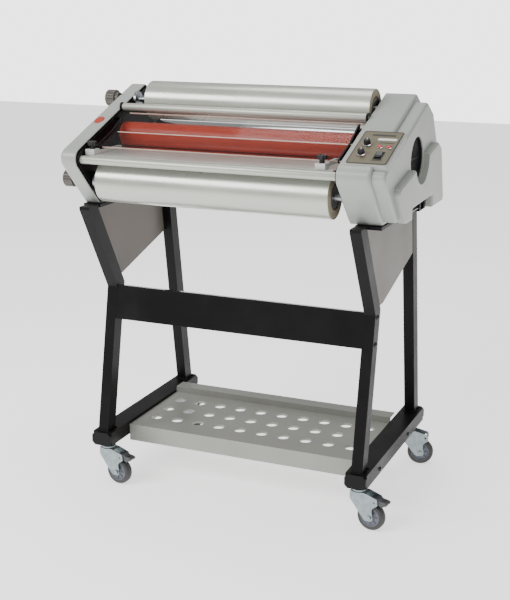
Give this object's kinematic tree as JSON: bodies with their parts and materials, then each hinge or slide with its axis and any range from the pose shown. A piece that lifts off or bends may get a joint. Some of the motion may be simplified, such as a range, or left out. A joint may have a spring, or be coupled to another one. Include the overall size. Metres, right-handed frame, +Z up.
{
  "type": "roll laminator",
  "caption": "Floor-standing roll laminator for prints and vinyl, with silicone rollers, film rolls, guard, controls and a wheeled stand.",
  "frame": {"origin": "centre of the bounding box at the floor under the wheels", "axes": "+X along the rollers towards the control panel, +Y from the feed side to the exit side, +Z up"},
  "size_m": [0.9156, 0.6514, 1.1114],
  "materials": {
    "frame_black": "satin powder coat",
    "gusset_grey": "satin",
    "black_plastic": "moulded",
    "crossbar_gloss": "gloss",
    "bolt_steel": "satin",
    "tray_grey": "satin",
    "zinc": "zinc plated",
    "wheel_rubber": "matt",
    "pedal_grey": "moulded",
    "cover_grey": "fine texture",
    "panel_olive": "satin",
    "lamp_red": "clear",
    "board_green": "coated",
    "motor_grey": "painted",
    "bar_steel": "satin",
    "bronze": "sintered",
    "table_grey": "anodised",
    "knob_black": "moulded",
    "guard_smoke": "clear",
    "silicone_red": "smooth",
    "shaft_steel": "turned",
    "chrome_roll": "polished",
    "gear_steel": "machined",
    "gear_acetal": "machined",
    "film_white": "wound film",
    "knob_grey": "moulded",
    "idler_silver": "satin",
    "guide_grey": "moulded"
  },
  "bodies": {
    "stand": {"side_frame_left": "frame_black", "side_frame_right": "frame_black", "gusset_left": "gusset_grey", "gusset_right": "gusset_grey", "rail_end_caps": "black_plastic", "crossbar": "crossbar_gloss", "frame_bolts": "bolt_steel", "tray": "tray_grey", "caster_stems": "zinc", "side_plate_left": "frame_black", "side_plate_right": "frame_black", "cover_left": "cover_grey", "cover_right": "cover_grey", "vent_grille": "black_plastic", "power_inlet": "black_plastic", "control_panel": "panel_olive", "panel_lamps": "lamp_red", "control_board": "board_green", "gear_motor": "motor_grey", "tie_bars": "bar_steel", "roller_bearings": "bronze", "feed_table": "table_grey"},
    "speed_dial_body": {"speed_dial": "knob_black"},
    "heat_dial_body": {"heat_dial": "knob_black"},
    "rocker_body": {"power_rocker": "knob_black"},
    "guard": {"guard_shield": "guard_smoke", "guard_arms": "black_plastic"},
    "upper_roller_body": {"upper_roller": "silicone_red", "upper_roller_shaft": "shaft_steel", "upper_roller_gear": "gear_steel"},
    "lower_roller_body": {"lower_roller": "silicone_red", "lower_roller_shaft": "shaft_steel", "lower_roller_gear": "gear_steel"},
    "pull_upper_body": {"pull_roller_upper": "chrome_roll", "pull_gear_upper": "gear_steel"},
    "pull_lower_body": {"pull_roller_lower": "chrome_roll", "pull_gear_lower": "gear_steel"},
    "idler_gear_body": {"idler_gear": "gear_acetal"},
    "pinion_body": {"motor_pinion": "gear_steel"},
    "film_upper_body": {"film_roll_upper": "film_white", "film_shaft_upper": "shaft_steel"},
    "film_lower_body": {"film_roll_lower": "film_white", "film_shaft_lower": "shaft_steel"},
    "tension_upper_body": {"tension_knob_upper": "knob_grey"},
    "tension_lower_body": {"tension_knob_lower": "knob_grey"},
    "film_idler_body": {"film_idler": "idler_silver"},
    "guide_left": {"edge_guide_left": "guide_grey"},
    "guide_right": {"edge_guide_right": "guide_grey"},
    "guide_knob_left_body": {"guide_knob_left": "knob_black"},
    "guide_knob_right_body": {"guide_knob_right": "knob_black"},
    "caster_fl": {"caster_fork_fl": "zinc"},
    "wheel_fl": {"caster_wheel_fl": "wheel_rubber"},
    "pedal_fl": {"brake_pedal_fl": "pedal_grey"},
    "caster_fr": {"caster_fork_fr": "zinc"},
    "wheel_fr": {"caster_wheel_fr": "wheel_rubber"},
    "pedal_fr": {"brake_pedal_fr": "pedal_grey"},
    "caster_rl": {"caster_fork_rl": "zinc"},
    "wheel_rl": {"caster_wheel_rl": "wheel_rubber"},
    "caster_rr": {"caster_fork_rr": "zinc"},
    "wheel_rr": {"caster_wheel_rr": "wheel_rubber"}
  },
  "joints": [
    {"name": "swivel_fl", "type": "hinge", "parent": "stand", "child": "caster_fl", "pos_m": [-0.3842, -0.19228, 0.098], "axis": [0, 0, 1], "continuous": true},
    {"name": "wheel_spin_fl", "type": "hinge", "parent": "caster_fl", "child": "wheel_fl", "pos_m": [-0.34855, -0.19729, 0.0375], "axis": [0.1392, 0.9903, 0], "continuous": true},
    {"name": "brake_fl", "type": "hinge", "parent": "caster_fl", "child": "pedal_fl", "pos_m": [-0.33469, -0.19924, 0.0835], "axis": [0.1392, 0.9903, 0], "range_deg": [0, 12]},
    {"name": "swivel_fr", "type": "hinge", "parent": "stand", "child": "caster_fr", "pos_m": [0.3598, -0.19228, 0.098], "axis": [0, 0, 1], "continuous": true},
    {"name": "wheel_spin_fr", "type": "hinge", "parent": "caster_fr", "child": "wheel_fr", "pos_m": [0.39545, -0.19729, 0.0375], "axis": [0.1392, 0.9903, 0], "continuous": true},
    {"name": "brake_fr", "type": "hinge", "parent": "caster_fr", "child": "pedal_fr", "pos_m": [0.40931, -0.19924, 0.0835], "axis": [0.1392, 0.9903, 0], "range_deg": [0, 12]},
    {"name": "swivel_rl", "type": "hinge", "parent": "stand", "child": "caster_rl", "pos_m": [-0.3842, 0.26772, 0.098], "axis": [0, 0, 1], "continuous": true},
    {"name": "wheel_spin_rl", "type": "hinge", "parent": "caster_rl", "child": "wheel_rl", "pos_m": [-0.34829, 0.27023, 0.0375], "axis": [-0.0698, 0.9976, 0], "continuous": true},
    {"name": "swivel_rr", "type": "hinge", "parent": "stand", "child": "caster_rr", "pos_m": [0.3598, 0.26772, 0.098], "axis": [0, 0, 1], "continuous": true},
    {"name": "wheel_spin_rr", "type": "hinge", "parent": "caster_rr", "child": "wheel_rr", "pos_m": [0.39501, 0.27521, 0.0375], "axis": [-0.2079, 0.9781, 0], "continuous": true},
    {"name": "guard_swing", "type": "hinge", "parent": "stand", "child": "guard", "pos_m": [-0.0122, -0.10428, 1.016], "axis": [-1, 0, 0], "range_deg": [0, 75]},
    {"name": "lower_roller_spin", "type": "hinge", "parent": "stand", "child": "lower_roller_body", "pos_m": [-0.0122, -0.09228, 0.9105], "axis": [1, 0, 0], "continuous": true},
    {"name": "upper_roller_spin", "type": "hinge", "parent": "stand", "child": "upper_roller_body", "pos_m": [-0.0122, -0.09228, 0.9755], "axis": [1, 0, 0], "continuous": true},
    {"name": "idler_gear_spin", "type": "hinge", "parent": "stand", "child": "idler_gear_body", "pos_m": [-0.0122, 0.00711, 0.89942], "axis": [1, 0, 0], "continuous": true},
    {"name": "pull_lower_spin", "type": "hinge", "parent": "stand", "child": "pull_lower_body", "pos_m": [-0.0122, 0.09772, 0.918], "axis": [1, 0, 0], "continuous": true},
    {"name": "pull_upper_spin", "type": "hinge", "parent": "stand", "child": "pull_upper_body", "pos_m": [-0.0122, 0.09772, 0.968], "axis": [1, 0, 0], "continuous": true},
    {"name": "motor_spin", "type": "hinge", "parent": "stand", "child": "pinion_body", "pos_m": [-0.0122, -0.10895, 0.86469], "axis": [1, 0, 0], "continuous": true},
    {"name": "film_upper_spin", "type": "hinge", "parent": "stand", "child": "film_upper_body", "pos_m": [-0.0122, -0.00728, 1.06], "axis": [1, 0, 0], "continuous": true},
    {"name": "film_lower_spin", "type": "hinge", "parent": "stand", "child": "film_lower_body", "pos_m": [-0.0122, -0.23828, 0.871], "axis": [1, 0, 0], "continuous": true},
    {"name": "film_idler_spin", "type": "hinge", "parent": "stand", "child": "film_idler_body", "pos_m": [-0.0122, -0.08028, 1.046], "axis": [1, 0, 0], "continuous": true},
    {"name": "tension_upper", "type": "hinge", "parent": "stand", "child": "tension_upper_body", "pos_m": [-0.0122, -0.00728, 1.06], "axis": [1, 0, 0], "range_deg": [-180, 180]},
    {"name": "tension_lower", "type": "hinge", "parent": "stand", "child": "tension_lower_body", "pos_m": [-0.0122, -0.23828, 0.871], "axis": [1, 0, 0], "range_deg": [-180, 180]},
    {"name": "speed_turn", "type": "hinge", "parent": "stand", "child": "speed_dial_body", "pos_m": [0.3658, -0.21854, 0.99829], "axis": [0, 0.3528, -0.9357], "range_deg": [0, 300]},
    {"name": "heat_turn", "type": "hinge", "parent": "stand", "child": "heat_dial_body", "pos_m": [0.3658, -0.26346, 0.98135], "axis": [0, 0.3528, -0.9357], "range_deg": [0, 300]},
    {"name": "rocker_tilt", "type": "hinge", "parent": "stand", "child": "rocker_body", "pos_m": [0.4088, -0.26533, 0.98064], "axis": [1, 0, 0], "range_deg": [-8, 8]},
    {"name": "guide_left_slide", "type": "slide", "parent": "stand", "child": "guide_left", "axis": [1, 0, 0], "range_m": [0, 0.25]},
    {"name": "guide_right_slide", "type": "slide", "parent": "stand", "child": "guide_right", "axis": [1, 0, 0], "range_m": [-0.25, 0.02]},
    {"name": "guide_knob_left_turn", "type": "hinge", "parent": "guide_left", "child": "guide_knob_left_body", "pos_m": [-0.3537, -0.27328, 0.9457], "axis": [0, 0, 1], "range_deg": [0, 180]},
    {"name": "guide_knob_right_turn", "type": "hinge", "parent": "guide_right", "child": "guide_knob_right_body", "pos_m": [0.2723, -0.27328, 0.9457], "axis": [0, 0, 1], "range_deg": [0, 180]}
  ],
  "couplings": [
    {"joint": "upper_roller_spin", "follows": "lower_roller_spin", "ratio": -1},
    {"joint": "idler_gear_spin", "follows": "lower_roller_spin", "ratio": -0.48148},
    {"joint": "pull_lower_spin", "follows": "lower_roller_spin", "ratio": 1.3},
    {"joint": "pull_upper_spin", "follows": "lower_roller_spin", "ratio": -1.3},
    {"joint": "motor_spin", "follows": "lower_roller_spin", "ratio": -2}
  ]
}
